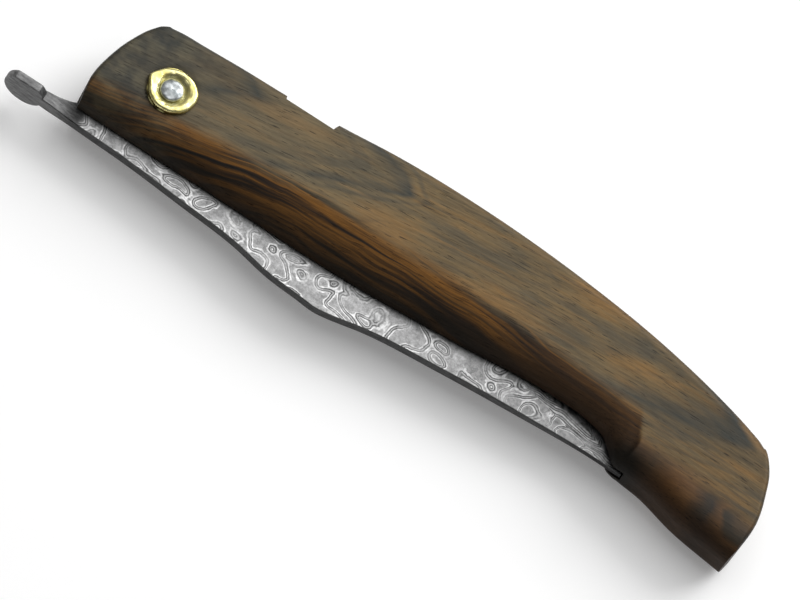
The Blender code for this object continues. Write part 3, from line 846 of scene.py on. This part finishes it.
def etched_lines(steel):
    """Brightness of the etched faces: double lines where they cut the warped layers, worn in places."""
    shifts = ((0, 0, 0), (SLOPE_STEP, 0, 0), (0, SLOPE_STEP, 0))
    here, ahead, above = [weld_layers(steel, shift) for shift in shifts]
    slope = steel.joined(steel.math("SUBTRACT", ahead, here), steel.math("SUBTRACT", above, here), 0.0)
    slope = steel.math("MAXIMUM", steel.math("DIVIDE", steel.length(slope), SLOPE_STEP), 0.22)
    layer = steel.math("ADD", here, steel.math("DIVIDE", steel.z, LAYER_THICKNESS))
    off_line = steel.math("ABSOLUTE", steel.math("SUBTRACT", steel.math("FRACT", layer), 0.5))
    apart = steel.math("DIVIDE", off_line, slope)
    lines = steel.ramp(steel.math("DIVIDE", apart, WELD_LINE_REACH), WELD_LINE)
    worn = steel.ramp(steel.noise((0.22, 0.3, 0.3), detail=2.0), [(0.42, 0.0), (0.62, 0.70)])
    return steel.mix(worn, lines, (0.27,) * 3)


def forged_color(steel, scale):
    """Dark forging scale, brightest on the tail and darkest at the toe."""
    ends = steel.math("SUBTRACT", steel.fade(steel.x, -13.0, -18.0), steel.fade(steel.x, 100.0, 111.0))
    along = steel.math("MULTIPLY_ADD", ends, 0.5, 0.5)
    forged = steel.ramp(scale, [(0.3, 0.08), (0.7, 0.26)])
    return steel.shaded(forged, along, [(0.0, 0.16), (0.5, 0.38), (1.0, 1.0)])


def damascus_material():
    """Pattern-welded steel: etched on its faces, with forging scale on its spine and tail."""
    steel = Shader("pattern_welded_steel")
    lines = etched_lines(steel)
    mottle = steel.noise((1.1, 1.1, 1.1), detail=6.0, roughness=0.75)
    etched = steel.shaded(lines, mottle, [(0.3, 0.60), (0.5, 1.12), (0.7, 1.6)])
    etched = steel.shaded(etched, steel.fade(steel.x, 50.0, 100.0), [(0.0, 1.0), (1.0, 0.66)])
    scale = steel.noise((0.5, 1.8, 1.8), detail=5.0, roughness=0.7)
    _, _, up = steel.facing()
    face = steel.fade(steel.math("ABSOLUTE", up), 0.55, 0.85)
    bright = steel.math("MULTIPLY", face, steel.fade(steel.x, -12.5, -10.8))
    steel.set(Base_Color=steel.mix(bright, forged_color(steel, scale), etched), Metallic=1.0)
    polish = steel.ramp(lines, [(0.1, 0.5), (0.6, 0.34)])
    steel.set(Roughness=steel.mix(bright, (0.55,) * 3, polish))
    steel.bump(steel.math("ADD", lines, scale), 0.015)
    return steel.material


def brass_material():
    """Bright brass, filed and rubbed by hand."""
    brass = Shader("filed_brass")
    smudge = brass.noise((0.5, 0.5, 0.5), detail=4.0)
    brass.set(Base_Color=brass.ramp(smudge, [(0.35, (0.72, 0.63, 0.22)), (0.65, (0.90, 0.83, 0.42))]))
    brass.set(Metallic=1.0)
    brass.set(Roughness=brass.ramp(smudge, [(0.3, 0.36), (0.7, 0.24)]))
    brass.bump(brass.noise((1.2, 9.0, 9.0), detail=2.0), 0.012)
    return brass.material


def pin_material():
    """Bright steel, dimpled by the peening hammer."""
    pin = Shader("peened_steel")
    dimples = pin.noise((0.9, 0.9, 0.9), detail=3.0)
    pin.set(Base_Color=pin.ramp(dimples, [(0.35, (0.19, 0.205, 0.21)), (0.65, (0.46, 0.485, 0.49))]))
    pin.set(Metallic=1.0)
    pin.set(Roughness=pin.ramp(dimples, [(0.3, 0.42), (0.7, 0.3)]))
    pin.bump(dimples, 0.05)
    return pin.material


# Stage.

def make_floor():
    """A plain pale floor under the razor, which glows a little like a light table."""
    size = 3.0
    mesh = bpy.data.meshes.new("floor")
    mesh.from_pydata([(-size, -size, 0), (size, -size, 0), (size, size, 0), (-size, size, 0)], [],
                     [(0, 1, 2, 3)])
    floor = bpy.data.objects.new("floor", mesh)
    bpy.context.scene.collection.objects.link(floor)
    material = bpy.data.materials.new("pale_floor")
    material.use_nodes = True
    shader = material.node_tree.nodes["Principled BSDF"]
    shader.inputs["Base Color"].default_value = (0.85, 0.85, 0.85, 1)
    shader.inputs["Roughness"].default_value = 0.9
    shader.inputs["Emission Color"].default_value = (1, 1, 1, 1)
    shader.inputs["Emission Strength"].default_value = 0.18
    mesh.materials.append(material)


def add_light(name, place, target, size, power):
    """A soft rectangular light that faces the target, in metres and watts."""
    light = bpy.data.lights.new(name, "AREA")
    light.shape = "RECTANGLE"
    light.size, light.size_y = size
    light.energy = power
    lamp = bpy.data.objects.new(name, light)
    lamp.location = place
    lamp.rotation_euler = (Vector(target) - Vector(place)).to_track_quat("-Z", "Y").to_euler()
    bpy.context.scene.collection.objects.link(lamp)


def make_lights():
    """Soft studio light from above the handle's back."""
    centre = (0.0, 0.0, 0.0)
    add_light("key", (0.45, 1.0, 0.85), centre, (1.1, 0.8), 14.0)
    add_light("top", (0.0, 0.30, 1.2), centre, (1.3, 1.1), 5.0)


def make_surround():
    """A pale surround that darkens away from the lights."""
    world = bpy.data.worlds.new("surround")
    bpy.context.scene.world = world
    world.use_nodes = True
    nodes, links = world.node_tree.nodes, world.node_tree.links
    direction = nodes.new("ShaderNodeTexCoord")
    height = nodes.new("ShaderNodeVectorMath")
    height.operation = "DOT_PRODUCT"
    height.inputs[1].default_value = (0.15, 0.62, 0.77)
    ramp = nodes.new("ShaderNodeValToRGB")
    stops = ramp.color_ramp.elements
    stops.new(0.5)
    for stop, (place, value) in zip(stops, [(0.0, 0.12), (0.45, 0.35), (1.0, 0.75)]):
        stop.position = place
        stop.color = (value, value, value, 1)
    links.new(direction.outputs["Generated"], height.inputs[0])
    links.new(height.outputs["Value"], ramp.inputs[0])
    links.new(ramp.outputs[0], nodes["Background"].inputs["Color"])
    nodes["Background"].inputs["Strength"].default_value = 0.9


def make_camera():
    """A long lens over the blade's side of the razor."""
    down = Vector((0, -np.cos(VIEW_TILT), -np.sin(VIEW_TILT)))
    toward = Vector((0, -np.sin(VIEW_TILT), np.cos(VIEW_TILT)))
    along = Vector((1, 0, 0))
    right = np.cos(VIEW_TURN) * along - np.sin(VIEW_TURN) * down
    up = -np.sin(VIEW_TURN) * along - np.cos(VIEW_TURN) * down
    target = PIVOT + (VIEW_CENTRE[0] * along + VIEW_CENTRE[1] * down) * MM
    data = bpy.data.cameras.new("camera")
    data.sensor_width = SENSOR
    data.lens = SENSOR * VIEW_DISTANCE / VIEW_WIDTH
    data.clip_end = 20.0
    camera = bpy.data.objects.new("camera", data)
    turn = Matrix((right, up, toward)).transposed().to_4x4()
    camera.matrix_world = Matrix.Translation(target + toward * VIEW_DISTANCE) @ turn
    bpy.context.scene.collection.objects.link(camera)
    bpy.context.scene.camera = camera


make_camera()
make_lights()
make_surround()
make_floor()
bpy.context.scene.view_settings.view_transform = "Standard"

WOOD = wood_material()
STEEL = damascus_material()
BRASS = brass_material()
PIN_STEEL = pin_material()

stand_in_for(make_scale("front_scale_fine", 1), "front_scale", "handle", WOOD)
stand_in_for(make_scale("rear_scale_fine", -1), "rear_scale", "handle", WOOD)
stand_in_for(make_wedge(), "butt_wedge", "handle", WOOD)
stand_in_for(make_blade(), "blade", "blade", STEEL)
stand_in_for(make_pin(), "pivot_pin", "handle", PIN_STEEL)
stand_in_for(make_collar("front_collar_fine", 1, 3.0), "front_collar", "handle", BRASS)
stand_in_for(make_collar("rear_collar_fine", -1, 8.0), "rear_collar", "handle", BRASS)
for washer in ("front_washer", "rear_washer"):
    frame["nodes"][washer].data.materials.clear()
    frame["nodes"][washer].data.materials.append(BRASS)
